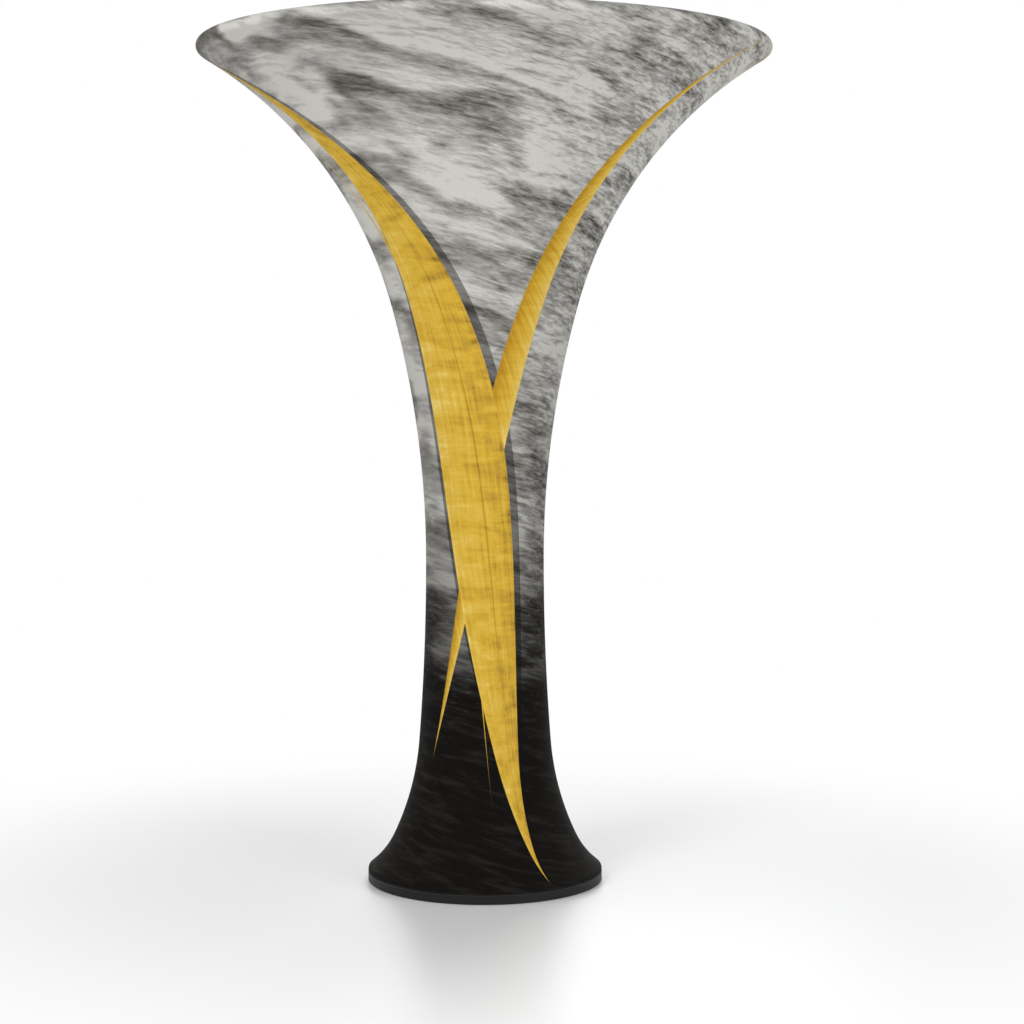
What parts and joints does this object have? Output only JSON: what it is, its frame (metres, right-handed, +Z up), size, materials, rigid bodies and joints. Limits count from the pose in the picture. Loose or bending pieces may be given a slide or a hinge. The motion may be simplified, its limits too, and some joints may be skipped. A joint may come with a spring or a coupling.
{
  "type": "trade show display tower",
  "caption": "Free-standing funnel-shaped display tower: printed stretch-fabric cover over a bent tube frame with inner hoops, on a round ballast platform, open at the top.",
  "frame": {"origin": "centre of the round base on the floor", "axes": "+Z up along the tower's axis, -Y towards the front of the print, zip at +Y"},
  "size_m": [2.4474, 2.4473, 3.6012],
  "materials": {
    "base_black": "satin",
    "steel": "satin",
    "rubber": "matte",
    "tube_aluminium": "satin",
    "cast_fitting": "satin",
    "black_nylon": "matte",
    "printed_fabric": "matte",
    "zip_tape": "matte",
    "zip_coil": "satin",
    "zip_metal": "satin"
  },
  "bodies": {
    "tower": {"base_plate_1": "base_black", "base_plate_2": "base_black", "base_plate_3": "base_black", "base_plate_4": "base_black", "base_join_bolts": "steel", "base_wing_nuts": "steel", "rubber_feet": "rubber", "base_screws": "steel", "hem_ring_1": "tube_aluminium", "hem_ring_2": "tube_aluminium", "rib_socket_1": "cast_fitting", "rib_socket_2": "cast_fitting", "rib_socket_3": "cast_fitting", "rib_socket_4": "cast_fitting", "rib_lower_1": "tube_aluminium", "rib_lower_2": "tube_aluminium", "rib_lower_3": "tube_aluminium", "rib_lower_4": "tube_aluminium", "rib_middle_1": "tube_aluminium", "rib_middle_2": "tube_aluminium", "rib_middle_3": "tube_aluminium", "rib_middle_4": "tube_aluminium", "rib_upper_1": "tube_aluminium", "rib_upper_2": "tube_aluminium", "rib_upper_3": "tube_aluminium", "rib_upper_4": "tube_aluminium", "snap_springs": "steel", "knee_hoop": "tube_aluminium", "waist_hoop": "tube_aluminium", "shoulder_hoop_1": "tube_aluminium", "shoulder_hoop_2": "tube_aluminium", "neck_hoop_1": "tube_aluminium", "neck_hoop_2": "tube_aluminium", "hoop_joiners": "tube_aluminium", "hoop_clamps": "black_nylon", "frame_screws": "steel", "top_ring_1": "tube_aluminium", "top_ring_2": "tube_aluminium", "top_ring_3": "tube_aluminium", "top_ring_4": "tube_aluminium", "top_ring_joiners": "tube_aluminium", "cover_front": "printed_fabric", "cover_back_left": "printed_fabric", "cover_back_right": "printed_fabric", "hem_flap": "printed_fabric", "zip_tape_left": "zip_tape", "zip_tape_right": "zip_tape", "zip_coil_left": "zip_coil", "zip_coil_right": "zip_coil"},
    "snap_button_low_1": {"snap_button_low_1": "steel"},
    "snap_button_low_2": {"snap_button_low_2": "steel"},
    "snap_button_low_3": {"snap_button_low_3": "steel"},
    "snap_button_low_4": {"snap_button_low_4": "steel"},
    "snap_button_high_1": {"snap_button_high_1": "steel"},
    "snap_button_high_2": {"snap_button_high_2": "steel"},
    "snap_button_high_3": {"snap_button_high_3": "steel"},
    "snap_button_high_4": {"snap_button_high_4": "steel"},
    "zip_slider": {"zip_slider": "zip_metal"},
    "zip_pull": {"zip_pull": "zip_metal"}
  },
  "joints": [
    {"name": "low_button_press_1", "type": "slide", "parent": "tower", "child": "snap_button_low_1", "axis": [0.7069, 0.7069, 0.0214], "range_m": [0, 0.0056], "stiffness_N_per_m": 1500},
    {"name": "low_button_press_2", "type": "slide", "parent": "tower", "child": "snap_button_low_2", "axis": [-0.7069, 0.7069, 0.0214], "range_m": [0, 0.0056], "stiffness_N_per_m": 1500},
    {"name": "low_button_press_3", "type": "slide", "parent": "tower", "child": "snap_button_low_3", "axis": [-0.7069, -0.7069, 0.0214], "range_m": [0, 0.0056], "stiffness_N_per_m": 1500},
    {"name": "low_button_press_4", "type": "slide", "parent": "tower", "child": "snap_button_low_4", "axis": [0.7069, -0.7069, 0.0214], "range_m": [0, 0.0056], "stiffness_N_per_m": 1500},
    {"name": "high_button_press_1", "type": "slide", "parent": "tower", "child": "snap_button_high_1", "axis": [0.6613, 0.6613, -0.3541], "range_m": [0, 0.0056], "stiffness_N_per_m": 1500},
    {"name": "high_button_press_2", "type": "slide", "parent": "tower", "child": "snap_button_high_2", "axis": [-0.6613, 0.6613, -0.3541], "range_m": [0, 0.0056], "stiffness_N_per_m": 1500},
    {"name": "high_button_press_3", "type": "slide", "parent": "tower", "child": "snap_button_high_3", "axis": [-0.6613, -0.6613, -0.3541], "range_m": [0, 0.0056], "stiffness_N_per_m": 1500},
    {"name": "high_button_press_4", "type": "slide", "parent": "tower", "child": "snap_button_high_4", "axis": [0.6613, -0.6613, -0.3541], "range_m": [0, 0.0056], "stiffness_N_per_m": 1500},
    {"name": "zip_travel", "type": "hinge", "parent": "tower", "child": "zip_slider", "pos_m": [0, 1.4665, 0.70185], "axis": [-1, 0, 0], "range_deg": [0, 18.5]},
    {"name": "pull_swing", "type": "hinge", "parent": "zip_slider", "child": "zip_pull", "pos_m": [0, 0.39052, 0.22279], "axis": [1, 0, 0], "range_deg": [0, 165]}
  ]
}
